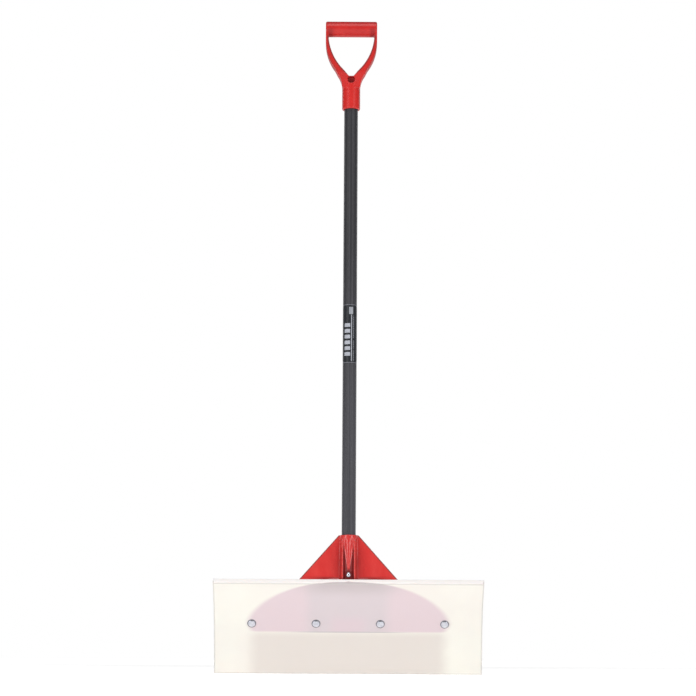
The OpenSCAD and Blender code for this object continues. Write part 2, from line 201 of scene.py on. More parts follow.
def addPiece(name, verts, faces, finish, smooth=True):
    mesh = bpy.data.meshes.new(name)
    mesh.from_pydata([tuple(v) for v in verts], [], faces)
    mesh.update()
    shell = bmesh.new()
    shell.from_mesh(mesh)
    bmesh.ops.remove_doubles(shell, verts=shell.verts, dist=1e-7)
    bmesh.ops.recalc_face_normals(shell, faces=shell.faces)
    shell.to_mesh(mesh)
    shell.free()
    piece = bpy.data.objects.new(name, mesh)
    bpy.context.scene.collection.objects.link(piece)
    mesh.materials.append(finish.material)
    mesh.polygons.foreach_set("use_smooth", [smooth] * len(mesh.polygons))
    return piece


def sharpenBy(piece, degrees):
    # hard edges stay hard above this angle
    piece.data.set_sharp_from_angle(angle=math.radians(degrees))


def keep(piece, slotName, *nodes):
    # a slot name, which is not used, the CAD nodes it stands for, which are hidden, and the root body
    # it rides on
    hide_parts(*nodes)
    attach(piece, "root")


def loftLoops(loops, capped=True):
    # closed loops with the same number of points, joined in order
    verts, faces = [], []
    count = len(loops[0])
    for loop in loops:
        verts.extend(loop)
    for k in range(len(loops) - 1):
        for i in range(count):
            j = (i + 1) % count
            faces.append((k * count + i, k * count + j, (k + 1) * count + j, (k + 1) * count + i))
    if capped:
        last = (len(loops) - 1) * count
        faces.append(tuple(range(count)))
        faces.append(tuple(range(last, last + count)))
    return verts, faces


def circleLoop(radius, height, sides):
    turns = [2 * math.pi * i / sides for i in range(sides)]
    return [Vector((radius * math.cos(a), radius * math.sin(a), height)) for a in turns]


def turnProfile(profile, sides, capped=True):
    # (radius, height) pairs turned round Z
    return loftLoops([circleLoop(radius, height, sides) for radius, height in profile], capped)


def placed(verts, matrix):
    return [matrix @ Vector(v) for v in verts]


def mouldedCopy(name, node, shape, finish):
    # the CAD solid with soft moulded edges: remeshed, then smoothed
    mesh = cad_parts[node].data.copy()
    mesh.name = name
    shell = bmesh.new()
    shell.from_mesh(mesh)
    bmesh.ops.remove_doubles(shell, verts=shell.verts, dist=1e-6)
    shell.to_mesh(mesh)
    shell.free()
    piece = bpy.data.objects.new(name, mesh)
    bpy.context.scene.collection.objects.link(piece)
    skin = piece.modifiers.new("skin", "REMESH")
    skin.mode = "VOXEL"
    skin.voxel_size = shape["voxel"]
    skin.adaptivity = 0.0
    soften = piece.modifiers.new("soften", "SMOOTH")
    soften.factor = 0.5
    soften.iterations = shape["passes"]
    ready = piece.evaluated_get(bpy.context.evaluated_depsgraph_get())
    solid = bpy.data.meshes.new_from_object(ready)
    piece.modifiers.clear()
    piece.data = solid
    solid.name = name
    solid.materials.clear()
    solid.materials.append(finish.material)
    solid.polygons.foreach_set("use_smooth", [True] * len(solid.polygons))
    return piece


def redPlastic(name, values, hollows, paintedLightAndMarks):
    # the first mask function gives painted shade for recesses, creases and shaded sides; the second
    # gives further masks (darker edges, painted edge shade on the grip, a painted highlight on the
    # bracket's rib fronts, and the grip's seams) with their shares and colours
    look = Finish(name)
    broad = look.noise(9.0, 3.0)
    fine = look.noise(420.0, 3.0)
    flow = look.noise(34.0, 4.0, 0.6, look.stretched(1.0, 1.0, 0.35))
    worn = look.edges(values["wearFrom"], values["wearTo"])
    scuffs = look.noise(900.0, 4.0, 0.7, look.stretched(1.0, 1.0, 0.08)).fade(0.60, 0.72)
    colour = look.mix(broad.fade(0.3, 0.7), values["deep"], values["colour"])
    colour = look.mix(flow.fade(0.35, 0.75) * 0.35, colour, values["light"])
    colour = look.mix(worn * 0.45, colour, values["edge"])
    rough = values["rough"] + flow * 0.06 + scuffs * 0.10 + worn * 0.12
    # painted shade: darkens the colour, and roughens and dulls the coat where it lies
    shade = hollows(look)
    colour = look.mix(shade, colour, values["hollow"])
    # darker edges, painted edge shade, painted highlights and seams, laid on in turn
    for mask, share, tint in paintedLightAndMarks(look):
        colour = look.mix(mask * share, colour, values[tint])
    grain = look.relief(fine, values["grain"], 0.0004)
    look.set(
        Base_Color=colour, Roughness=rough + shade * 0.25, IOR=1.5,
        Normal=look.relief(flow, values["grain"], 0.0012, grain),
        Specular_IOR_Level=values["shine"],
        Coat_Weight=(1.0 - shade) * values["coat"], Coat_Roughness=values["coatRough"],
    )
    return look


bracketShape = {
    "ribInset": 0.0021,     # crest of a rib, inside the tube's side
    "fanHalf": 0.1105,      # half the fan's width at the ridge of the blade
    "fanTaper": 0.088,      # how much of it is lost on the way up
    "sink": 0.0050,         # depth of the hollow beside each rib
    "sinkWide": 0.040,
    "sinkStart": 0.003,     # its distance from the crest
    "sinkRamp": 0.004,
    "voxel": 0.0012,
    "passes": 4,
}
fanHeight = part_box("blade_bracket")[1].z - ridgeZ
ribX = tubeRadius - bracketShape["ribInset"]


def facesFront(look):
    # 1 on the front half of the bracket
    return 1.0 - look.y.fade(tubeAxis.y - tubeRadius * 0.35, tubeAxis.y)


def bracketPaintedShade(look):
    # painted shade beside the tongue, in the recess below it, along the blade's top edge and in the
    # hollows beside the ribs
    climb = (look.z - ridgeZ) / fanHeight
    wide = abs(look.x)
    tongue = ((climb - 0.20) * 0.0155).atLeast(0.0) + 0.0016
    channel = 1.0 - wide.fade(ribX - 0.0028, ribX - 0.0012)
    channel = channel * look.z.fade(ridgeZ - 0.010, ridgeZ - 0.006)
    gaps = channel * (wide - tongue).fade(0.0, 0.0012) * (1.0 - climb.fade(0.62, 0.88))
    pit = channel * (1.0 - climb.fade(0.17, 0.27))
    # painted shadow of the blade's top edge: a dark crease just above it
    crease = 1.0 - (look.z - ridgeZ).fade(0.0015, 0.0085)
    crease = crease * look.z.fade(ridgeZ - 0.004, ridgeZ - 0.002)
    crease = crease * (1.0 - wide.fade(0.050, 0.115)) * 0.65
    valley = (1.0 - (wide - ribX).fade(0.001, 0.034)) * wide.fade(ribX + 0.001, ribX + 0.004)
    valley = valley * (1.0 - climb.fade(0.35, 0.85)) * climb.fade(-0.02, 0.02) * 0.42
    return (gaps * 0.85).atLeast(pit * 0.95).atLeast(crease).atLeast(valley) * facesFront(look)


def bracketEdgesAndHighlight(look):
    # a darker band along the two slanted edges, and a painted highlight along the fronts of the ribs
    climb = (look.z - ridgeZ) / fanHeight
    wide = abs(look.x)
    halfFan = bracketShape["fanHalf"] - climb * bracketShape["fanTaper"]
    rim = (wide - halfFan).fade(-0.0046, -0.0024) * climb.fade(-0.01, 0.01)
    # painted highlight: lighter red along each rib's crest
    crest = (1.0 - abs(wide - ribX).fade(0.0002, 0.0012)) * climb.fade(0.0, 0.03)
    crest = crest * (1.0 - climb.fade(0.80, 0.95)) * facesFront(look)
    return (rim, 0.7, "rim"), (crest, 0.55, "light")


gripShape = {
    "barRadius": 0.01825,
    "pocketDrop": 0.1265,       # from the bar's axis down to the moulded pocket
    "armRoot": 0.0062,          # where an arm meets the bar, from its end
    "armInner": 0.125,          # radius of an arm's inner edge
    "armInnerDrop": 0.01314,    # and how far its centre is below the bar's axis
    "armOuter": 0.112,
    "armOuterDrop": 0.0325,
    "voxel": 0.0010,
    "passes": 6,
}
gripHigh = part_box("d_grip")[1]
barZ = gripHigh.z - gripShape["barRadius"]
gripHalf = gripHigh.x


def gripPaintedShade(look):
    # painted shade in the moulded pocket, in the corners where the arms run into the bar, and on the
    # bar's top
    front = 1.0 - look.y.fade(tubeAxis.y - 0.004, tubeAxis.y)
    wide = abs(look.x)
    pocketZ = barZ - gripShape["pocketDrop"]
    pocket = (1.0 - wide.fade(0.0066, 0.0080)) * look.z.fade(pocketZ - 0.008, pocketZ - 0.004)
    pocket = pocket * (1.0 - look.z.fade(pocketZ + 0.012, pocketZ + 0.016)) * front
    corner = 1.0 - abs(wide - (gripHalf - 0.011)).fade(0.002, 0.010)
    corner = corner * look.z.fade(barZ - 0.024, barZ - 0.017)
    corner = corner * (1.0 - look.z.fade(barZ - 0.008, barZ + 0.004)) * front
    # painted shade: the bar's top darker
    top = look.z.fade(barZ + 0.006, barZ + 0.015) * 0.35
    return (pocket * 0.60).atLeast(corner * 0.5).atLeast(top)


def beyondArc(look, radius, drop, start):
    # distance outside a circle whose near side is at start, on either half of the grip
    across = abs(look.x) - (start - radius)
    return (across ** 2.0 + (look.z - barZ + drop) ** 2.0) ** 0.5 - radius


def gripEdgeShadeAndSeams(look):
    # painted shade on the edges of the arms and the sides of the collar, and darker seams at the bar's
    # ends
    wide = abs(look.x)
    root = gripHalf - gripShape["armRoot"]
    inner = beyondArc(look, gripShape["armInner"], gripShape["armInnerDrop"], root)
    edge = inner.fade(-0.0006, 0.0) * (1.0 - inner.fade(0.0026, 0.0048))
    edge = edge * (1.0 - look.z.fade(barZ - 0.022, barZ - 0.016))
    edge = edge * wide.fade(0.004, 0.008) * look.z.fade(barZ - 0.118, barZ - 0.108)
    outer = beyondArc(look, gripShape["armOuter"], gripShape["armOuterDrop"], gripHalf)
    skirt = outer.fade(-0.0045, -0.0020) * (1.0 - look.z.fade(barZ - 0.040, barZ - 0.030))
    skirt = skirt * look.z.fade(barZ - 0.112, barZ - 0.098)
    sides = wide.fade(0.0165, 0.0205) * (1.0 - look.z.fade(barZ - 0.150, barZ - 0.140))
    seam = (1.0 - abs(wide - root).fade(0.0004, 0.0012)) * look.z.fade(barZ - 0.014, barZ - 0.008)
    dark = edge.atLeast(skirt * 0.45).atLeast(sides * 0.6).atLeast(seam * 0.3)
    return ((dark, 0.7, "rim"),)


# in both reds the near-black red is painted shade for recesses, creases and shaded sides; rim darkens
# edges (painted edge shade on the grip, plus its seams); on the bracket, light is also the painted
# highlight along the rib fronts
bracketColours = {
    "colour": (0.69, 0.034, 0.030), "deep": (0.60, 0.026, 0.024), "light": (0.80, 0.080, 0.068),
    "edge": (0.62, 0.05, 0.04), "rim": (0.16, 0.045, 0.040), "hollow": (0.13, 0.001, 0.002),
    "rough": 0.20, "coat": 0.95, "coatRough": 0.05, "shine": 0.30, "grain": 0.03,
    "wearFrom": 0.56, "wearTo": 0.70,
}
gripColours = {
    "colour": (0.575, 0.014, 0.011), "deep": (0.48, 0.011, 0.009), "light": (0.63, 0.026, 0.020),
    "edge": (0.50, 0.030, 0.024), "rim": (0.17, 0.024, 0.024), "hollow": (0.20, 0.002, 0.006),
    "rough": 0.36, "coat": 0.10, "coatRough": 0.22, "shine": 0.36, "grain": 0.06,
    "wearFrom": 0.56, "wearTo": 0.70,
}
bracketRed = redPlastic("bracketRed", bracketColours, bracketPaintedShade, bracketEdgesAndHighlight)
gripRed = redPlastic("gripRed", gripColours, gripPaintedShade, gripEdgeShadeAndSeams)

milkValues = {
    "milk": (0.835, 0.800, 0.745),      # outer parts of the sheet
    "clear": (0.860, 0.845, 0.775),     # paler clouds in it
    "lowShadow": (0.700, 0.648, 0.605),      # painted shadow seen through the sheet, low down in the middle
    "blush": (0.695, 0.565, 0.605),     # painted see-through tint of the bracket behind
    "socketShadow": (0.645, 0.580, 0.600),      # painted shade seen through, in its middle where the socket stands behind
    "shade": (0.545, 0.480, 0.490),     # painted shade under the top edge
    "line": (0.420, 0.395, 0.415),      # painted shadow line along the flange's lower rim, seen through the sheet
    "rim": (0.560, 0.540, 0.520),       # painted edge shade along the sheet's cut side and bottom edges, and under its top face
    "top": (0.980, 0.925, 0.900),       # painted light on its narrow top face
    "worn": (0.80, 0.78, 0.74),         # scratches and the rubbed working edge
    "rough": 0.36,
}
flange = {
    "half": 0.229,      # half its width, as it shows through the sheet
    "dome": 0.088,      # height of its top above the bolts
    "curl": 22.0,       # how fast its lower corners turn in
}
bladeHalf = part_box("blade")[1].x
topFront = bladeShape["radius"] * math.sin(math.radians(bladeShape["arc"]))


def milkySheet():
    look = Finish("milkySheet")
    cloud = look.noise(7.0, 3.0)
    mottle = look.noise(60.0, 3.0)
    fine = look.noise(700.0, 2.0)
    radial = ((look.y - arcY) ** 2.0 + look.z ** 2.0) ** 0.5
    wide = abs(look.x)
    rise = middle("blade_bolt_1").z
    front = 1.0 - radial.fade(bladeShape["radius"] + 0.004, bladeShape["radius"] + 0.009)
    # painted see-through: the flange behind, seen softly as a low dome above the bolts and round ends
    # beside them
    climb = ((look.z - rise) / flange["dome"]).atLeast(0.0).atMost(1.0)
    reach = (1.0 - climb ** 1.5) ** 0.42 * flange["half"]
    drop = (rise - look.z).atLeast(0.0)
    sides = 1.0 - (wide - reach + drop * drop * flange["curl"]).fade(-0.012, 0.009)
    behind = sides * look.z.fade(rise - 0.0240, rise - 0.0195) * front
    colour = look.mix(cloud.fade(0.35, 0.7), milkValues["milk"], milkValues["clear"])
    # painted shadow seen through the sheet, low in the middle
    low = 1.0 - look.z.fade(rise - 0.036, rise - 0.012)
    low = low * (1.0 - (wide + mottle * 0.01).fade(0.205, 0.245)) * front
    colour = look.mix(low * 0.85, colour, milkValues["lowShadow"])
    # painted light: the top face brighter
    colour = look.mix(look.z.fade(topFront, topFront + 0.0006), colour, milkValues["top"])
    # painted see-through tint of the flange behind the sheet
    colour = look.mix(behind * 0.9, colour, milkValues["blush"])
    # painted shade where the socket stands behind, and a pinker see-through patch lower down
    core = behind * (1.0 - (wide + cloud * 0.03).fade(0.085, 0.125))
    colour = look.mix(core * 0.85, colour, milkValues["socketShadow"])
    pinker = core * (1.0 - wide.fade(0.02, 0.055))
    pinker = pinker * (1.0 - look.z.fade(rise - 0.004, rise + 0.022))
    colour = look.mix(pinker * 0.7, colour, milkValues["blush"])
    # painted shade under the top edge
    under = behind * (1.0 - wide.fade(0.04, 0.15)) * look.z.fade(rise + 0.050, rise + 0.086)
    colour = look.mix(under, colour, milkValues["shade"])
    # painted shadow line along the flange's lower rim
    rim = look.z.fade(rise - 0.0240, rise - 0.0228) * (1.0 - look.z.fade(rise - 0.0226, rise - 0.0205))
    rim = rim * (1.0 - wide.fade(0.06, 0.16)) * front
    colour = look.mix(rim * 0.75, colour, milkValues["line"])
    # painted edge shade under the top face and along the cut edges
    lip = look.z.fade(topFront - 0.0032, topFront - 0.0022)
    lip = lip * (1.0 - look.z.fade(topFront - 0.0004, topFront + 0.0004))
    cut = (wide - bladeHalf).fade(-0.0034, -0.0022).atLeast(1.0 - look.z.fade(0.0016, 0.0030))
    colour = look.mix((lip * 0.5).atLeast(cut * 0.6) * front, colour, milkValues["rim"])
    scratches = look.noise(260.0, 4.0, 0.65, look.stretched(0.06, 1.0, 1.0)).fade(0.62, 0.74)
    wear = (1.0 - look.z.fade(0.0, 0.012)) * mottle.fade(0.4, 0.65)
    colour = look.mix(wear * 0.22 + scratches * 0.05, colour, milkValues["worn"])
    rough = milkValues["rough"] + mottle * 0.08 + scratches * 0.10 + wear * 0.15
    skin = look.relief(fine, 0.06, 0.0003)
    skin = look.relief(cloud, 0.10, 0.004, skin)
    look.set(
        Base_Color=colour, Roughness=rough, Normal=skin, IOR=1.5,
        Subsurface_Weight=0.25, Subsurface_Scale=0.005, Subsurface_Radius=(1.0, 0.85, 0.75),
    )
    return look


bladeMilk = milkySheet()


tubeLook = {
    "coating": (0.012, 0.012, 0.015),
    "streak": (0.024, 0.024, 0.028),
    "cloud": (0.034, 0.034, 0.039),
    "scuff": (0.09, 0.09, 0.095),
    "paler": (0.085, 0.084, 0.098),    # fine pale bands, and the lower half made paler
    "rough": 0.38,
}


def satinTube():
    look = Finish("satinTube")
    streak = look.noise(130.0, 5.0, 0.62, look.stretched(1.0, 1.0, 0.012))
    broad = look.noise(11.0, 3.0, 0.5, look.stretched(1.0, 1.0, 0.25))
    fine = look.noise(1500.0, 2.0, 0.5, look.stretched(1.0, 1.0, 0.3))
    scuff = look.noise(300.0, 4.0, 0.7, look.stretched(1.0, 1.0, 0.2)).fade(0.66, 0.76)
    colour = look.mix(streak.fade(0.3, 0.7), tubeLook["coating"], tubeLook["streak"])
    colour = look.mix(broad.fade(0.35, 0.75) * 0.4, colour, tubeLook["cloud"])
    colour = look.mix(scuff * 0.35, colour, tubeLook["scuff"])
    bands = look.noise(260.0, 1.0, 0.5, look.stretched(1.0, 1.0, 0.004)).fade(0.42, 0.62)
    lowerHalf = 1.0 - look.z.fade(0.45, 1.0)      # lower half paler
    colour = look.mix(bands * 0.35 + lowerHalf * 0.30, colour, tubeLook["paler"])
    rough = tubeLook["rough"] + streak * 0.12 + scuff * 0.12
    skin = look.relief(streak, 0.16, 0.0005)
    skin = look.relief(fine, 0.08, 0.0003, skin)
    look.set(Base_Color=colour, Roughness=rough, Normal=skin, IOR=1.5, Specular_IOR_Level=0.4)
    return look


tubeGrey = satinTube()


metals = {
    "boltSteel": {"colour": (0.60, 0.61, 0.66), "tint": (0.50, 0.51, 0.57), "rough": 0.12},
    "zincSteel": {"colour": (0.62, 0.63, 0.64), "tint": (0.70, 0.69, 0.62), "rough": 0.30},
}
ringBlue = {"dark": (0.03, 0.10, 0.36), "pale": (0.05, 0.16, 0.48), "rough": 0.42}


def steel(name):
    values = metals[name]
    look = Finish(name)
    cloud = look.noise(140.0, 3.0)
    brush = look.noise(2600.0, 3.0, 0.6, look.stretched(1.0, 1.0, 0.15))
    spots = look.noise(700.0, 3.0, 0.7).fade(0.62, 0.72)
    tone = look.mix(cloud.fade(0.3, 0.7), values["colour"], values["tint"])
    tone = look.mix(spots * 0.4, tone, tuple(c * 0.62 for c in values["colour"]))
    look.set(
        Base_Color=tone, Metallic=1.0,
        Roughness=values["rough"] + cloud * 0.08 + spots * 0.15,
        Normal=look.relief(brush, 0.08, 0.0002),
    )
    return look


boltSteel = steel("boltSteel")
zincSteel = steel("zincSteel")


def nylonBlue():
    look = Finish("nylonBlue")
    cloud = look.noise(300.0, 2.0)
    look.set(
        Base_Color=look.mix(cloud, ringBlue["dark"], ringBlue["pale"]),
        Roughness=ringBlue["rough"] + cloud * 0.12,
        Normal=look.relief(look.noise(1800.0), 0.1, 0.0002),
    )
    return look


ringNylon = nylonBlue()
print("snow pusher: finishes mixed")


def curvedBlade():
    inner = bladeShape["radius"]
    outer = inner + bladeShape["thickness"]
    arc = math.radians(bladeShape["arc"])
    soft = bladeShape["round"]
    halfWide = (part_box("blade")[1].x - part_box("blade")[0].x) / 2

    def section(inset):
        # closed outline in depth and height, its corners rounded
        r0, r1 = inner + inset, outer - inset
        a0, a1 = inset / inner, arc - inset / inner
        turn = max(soft - inset, 0.00012)
        points = []
        steps = bladeShape["rises"]
        da = turn / inner
        for i in range(steps + 1):          # hollow face, upwards
            points.append((r0, a0 + da + (a1 - a0 - 2 * da) * i / steps))
        for i in range(1, 4):               # corner at the top front
            t = math.pi / 2 * i / 4
            points.append((r0 + turn * (1 - math.cos(t)), a1 - da + da * math.sin(t)))
        for i in range(5):
            points.append((r0 + turn + (r1 - r0 - 2 * turn) * i / 4, a1))
        for i in range(1, 4):
            t = math.pi / 2 * i / 4
            points.append((r1 - turn + turn * math.sin(t), a1 - da + da * math.cos(t)))
        for i in range(steps + 1):          # back face, downwards
            points.append((r1, a1 - da - (a1 - a0 - 2 * da) * i / steps))
        for i in range(1, 4):
            t = math.pi / 2 * i / 4
            points.append((
                r1 - turn + turn * math.sin(t),
                a0 + da * (1 - math.sin(t)) if i < 3 else a0 + da * 0.08,
            ))
        for i in range(5):
            points.append((r1 - turn - (r1 - r0 - 2 * turn) * i / 4, a0))
        for i in range(1, 4):
            t = math.pi / 2 * i / 4
            points.append((r0 + turn * (1 - math.sin(t)), a0 + da * (1 - math.cos(t))))
        return points

    # sections from one side to the other, drawn in at both cut edges
    ends = [(halfWide, soft), (halfWide - soft * 0.29, soft * 0.29), (halfWide - soft, 0.0)]
    count = bladeShape["strips"]
    stations = [(-x, inset) for x, inset in ends]
    for i in range(1, count):
        stations.append((-halfWide + soft + (2 * halfWide - 2 * soft) * i / count, 0.0))
    stations += ends[::-1]
    loops = [
        [Vector((x, arcY + r * math.cos(a), r * math.sin(a))) for r, a in section(inset)]
        for x, inset in stations
    ]
    verts, faces = loftLoops(loops)
    piece = addPiece("curvedBlade", verts, faces, bladeMilk)
    sharpenBy(piece, 50)
    keep(piece, "blade_poly", "blade")


curvedBlade()
print("snow pusher: blade bent")


def fanBracket():
    piece = mouldedCopy("fanBracket", "blade_bracket", bracketShape, bracketRed)
    # the wings sink in beside the ribs
    for vert in piece.data.vertices:
        beside = abs(vert.co.x) - ribX - bracketShape["sinkStart"]
        climb = (vert.co.z - ridgeZ) / fanHeight
        if beside < 0 or climb < -0.05 or climb > 0.95 or vert.co.y > tubeAxis.y + 0.004:
            continue
        width = bracketShape["sinkWide"] * (1.0 - climb) + 0.004
        rise = min(beside / bracketShape["sinkRamp"], 1.0)
        foot = max(min((climb + 0.05) / 0.08, 1.0), 0.0)
        sink = bracketShape["sink"] * rise * math.exp(-(beside / width) ** 2) * foot
        vert.co.y += sink * (1.0 - climb) ** 0.5
    piece.data.update()
    keep(piece, "red_moulding", "blade_bracket")


fanBracket()
print("snow pusher: bracket moulded")
keep(mouldedCopy("dGrip", "d_grip", gripShape, gripRed), "grip_moulding", "d_grip")
print("snow pusher: grip moulded")


tubeShape = {"wall": 0.003, "round": 0.0006, "bands": 40, "sides": 96}


def handleTube():
    inside = tubeRadius - tubeShape["wall"]
    soft = tubeShape["round"]
    count = tubeShape["bands"]
    profile = [(inside, tubeLow + soft), (inside + soft, tubeLow)]
    profile += [(tubeRadius - soft, tubeLow), (tubeRadius, tubeLow + soft)]
    for i in range(1, count):
        profile.append((tubeRadius, tubeLow + soft + (tubeHigh - tubeLow - 2 * soft) * i / count))
    profile += [(tubeRadius, tubeHigh - soft), (tubeRadius - soft, tubeHigh)]
    profile += [(inside + soft, tubeHigh), (inside, tubeHigh - soft), (inside, tubeLow + soft)]
    verts, faces = turnProfile(profile, tubeShape["sides"], capped=False)
    verts = placed(verts, Matrix.Translation(tubeAxis))
    piece = addPiece("handleTube", verts, faces, tubeGrey)
    sharpenBy(piece, 40)
    keep(piece, "tube_coating", "handle_tube")


handleTube()

labelLook = {
    "film": (0.010, 0.012, 0.016),
    "print": (0.50, 0.52, 0.58),
    "line": (0.20, 0.20, 0.23),
    "silver": (0.40, 0.42, 0.46),
    "grain": (0.02, 0.023, 0.028),
    "halfTurn": 88,                  # degrees either side of the front
    "corner": 0.011,
    "lineAt": 0.0038,                # round the tube, from the front
    "dashesAt": 0.0088,
    "barsAt": -0.0062,
    "tabletAt": (0.0028, 0.0535),
    "lineSpan": (-0.064, 0.044),     # from the label's middle
    "barSpan": (-0.0540, 0.0264),
    "barStep": 0.0067,
    "dashStep": 0.0021,
    "thick": (0.00003, 0.00025),     # its two faces, out from the tube
}


def sawtooth(wire, step):
    # rises and falls between 0 and step
    return wire.calc("PINGPONG", wire, step)


def labelFilm():
    look = Finish("labelFilm")
    low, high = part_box("tube_label")
    midZ, halfH = (low.z + high.z) / 2, (high.z - low.z) / 2
    turn = look.x.calc("ARCTAN2", look.x, -(look.y - tubeAxis.y))
    around = turn * tubeRadius
    up = look.z - midZ
    halfW = math.radians(labelLook["halfTurn"]) * tubeRadius
    # pale outline a little inside the edge, with round corners
    corner = labelLook["corner"]
    beside = (abs(around) - (halfW - corner)).atLeast(0.0)
    above = (abs(up) - (halfH - corner)).atLeast(0.0)
    edge = (beside ** 2.0 + above ** 2.0) ** 0.5 - corner
    border = edge.fade(-0.0030, -0.0024) * (1.0 - edge.fade(-0.0014, -0.0008))
    # thin upright line and a column of short dashes beside it
    line = labelLook["lineSpan"]
    span = up.fade(line[0], line[0] + 0.001) * (1.0 - up.fade(line[1] - 0.001, line[1]))
    upright = (1.0 - abs(around - labelLook["lineAt"]).fade(0.0006, 0.0010)) * span
    dash = sawtooth(up + 0.2, labelLook["dashStep"]).fade(0.0004, 0.0008)
    breaks = look.noise(1.0, 1.0, 0.5, look.stretched(0.0, 0.0, 55.0)).fade(0.40, 0.46)
    dashes = (1.0 - abs(around - labelLook["dashesAt"]).fade(0.0009, 0.0013)) * dash * breaks * span
    # plain bars on the other side
    bars = labelLook["barSpan"]
    rows = sawtooth(up - bars[0], labelLook["barStep"]).fade(0.0022, 0.0027)
    rows = rows * up.fade(bars[0], bars[0] + 0.0003) * (1.0 - up.fade(bars[1] - 0.0003, bars[1]))
    bandMask = rows * (1.0 - abs(around - labelLook["barsAt"]).fade(0.0066, 0.0071))
    # plain upright tablet
    tablet = labelLook["tabletAt"]
    lozenge = 1.0 - abs(around - tablet[0]).fade(0.0044, 0.0049)
    lozenge = lozenge * (1.0 - abs(up - tablet[1]).fade(0.0080, 0.0086))
    grain = look.noise(2000.0, 2.0)
    colour = look.mix(grain * 0.5, labelLook["film"], labelLook["grain"])
    colour = look.mix(border * 0.8, colour, labelLook["line"])
    colour = look.mix(upright * 0.85, colour, labelLook["print"])
    colour = look.mix(bandMask * 0.80, colour, labelLook["print"])
    colour = look.mix(dashes * 0.35, colour, labelLook["print"])
    colour = look.mix(lozenge * 0.75, colour, labelLook["silver"])
    look.set(
        Base_Color=colour, Roughness=0.36 + grain * 0.08 + bandMask * 0.1,
        IOR=1.5, Specular_IOR_Level=0.35,
        Normal=look.relief(look.noise(500.0, 2.0), 0.08, 0.0003),
    )
    return look


def tubeLabel():
    low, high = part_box("tube_label")
    halfTurn = math.radians(labelLook["halfTurn"])
    corner = labelLook["corner"]
    inner, outer = (tubeRadius + gap for gap in labelLook["thick"])
    rows, columns = 96, 56
    loops = []
    for k in range(rows + 1):
        z = low.z + (high.z - low.z) * k / rows
        gap = min(z - low.z, high.z - z)
        pull = 0.0
        if gap < corner:
            pull = corner - math.sqrt(max(corner ** 2 - (corner - gap) ** 2, 0.0))
        half = halfTurn - pull / tubeRadius
        lineOut, lineIn = [], []
        for i in range(columns + 1):
            a = -half + 2 * half * i / columns
            way = Vector((math.sin(a), -math.cos(a), 0.0))
            lineOut.append(tubeAxis + way * outer + Vector((0, 0, z)))
            lineIn.append(tubeAxis + way * inner + Vector((0, 0, z)))
        loops.append(lineOut + lineIn[::-1])
    verts, faces = loftLoops(loops)
    piece = addPiece("tubeLabel", verts, faces, labelFilm())
    sharpenBy(piece, 40)
    keep(piece, "label_film", "tube_label")


tubeLabel()
print("snow pusher: tube turned and labelled")

bladeBolt = {
    "headD": 0.0202, "headH": 0.0046, "neck": 0.008, "neckH": 0.005, "threadD": 0.008,
    "pitch": 0.00125, "seat": 0.0005, "end": 0.0331,
}
tubeBolt = {"headD": 0.012, "headH": 0.0039, "threadD": 0.006, "pitch": 0.001}
# painted shade ring round each carriage bolt head: its colours and its span across the head
rimShade = {"dark": (0.16, 0.165, 0.19), "pale": (0.30, 0.30, 0.33), "from": 0.40, "to": 0.6}
boltSides = 36


def rimSteel():
    # painted shade: a dark ring round a head
    look = Finish("rimSteel")
    cloud = look.noise(500.0, 3.0)
    look.set(
        Base_Color=look.mix(cloud, rimShade["dark"], rimShade["pale"]), Metallic=0.9,
        Roughness=0.38 + cloud * 0.12, Normal=look.relief(look.noise(1500.0), 0.1, 0.0002),
    )
    return look


rimLook = rimSteel()


def darkRim(piece, centre, way, inner, outer, reachBack):
    # the second material, painted shade, goes on faces in this ring round the head's axis
    piece.data.materials.append(rimLook.material)
    for face in piece.data.polygons:
        gap = face.center - centre
        along = gap.dot(way)
        off = (gap - way * along).length
        if inner < off < outer and along < reachBack:
            face.material_index = 1


def domeProfile(width, height):
    # from the middle of the dome out to its rim, then under the head
    rim = height * 0.2
    rise = height - rim
    bow = ((width / 2) ** 2 + rise ** 2) / (2 * rise)
    points = []
    for i in range(15):
        r = (width / 2) * (0.02 + 0.98 * i / 14)
        h = bow - math.sqrt(max(bow ** 2 - r ** 2, 0.0))
        points.append((r if i < 14 else width / 2 - 0.0001, -height + h))
    points.append((width / 2, -rim * 0.65))
    points.append((width / 2, -rim * 0.25))
    points.append((width / 2 - 0.00015, 0.0))
    return points


def threadedShank(start, end, width, pitch):
    # real helical thread: the radius follows height less the turn
    depth = pitch * 0.55
    loops = []
    steps = max(int((end - start) / (pitch / 8)), 8)
    for k in range(steps + 1):
        z = start + (end - start) * k / steps
        fadeIn = min((z - start) / pitch, 1.0)
        fadeOut = min((end - z) / pitch, 1.0)
        loop = []
        for i in range(boltSides):
            turn = i / boltSides
            wave = (z / pitch - turn) % 1.0
            groove = 1.0 - abs(2.0 * wave - 1.0)
            r = width / 2 - depth * (1.0 - groove) * fadeIn - 0.0006 * (1.0 - fadeOut)
            a = 2 * math.pi * turn
            loop.append(Vector((r * math.cos(a), r * math.sin(a), z)))
        loops.append(loop)
    return loops


def squareLoop(half, z, corner=0.12):
    # a square with round corners, in as many points as a circle
    loop = []
    power = 1.0 / corner
    for i in range(boltSides):
        a = 2 * math.pi * i / boltSides
        c, s = math.cos(a), math.sin(a)
        r = half / ((abs(c) ** power + abs(s) ** power) ** (1.0 / power))
        loop.append(Vector((r * c, r * s, z)))
    return loop


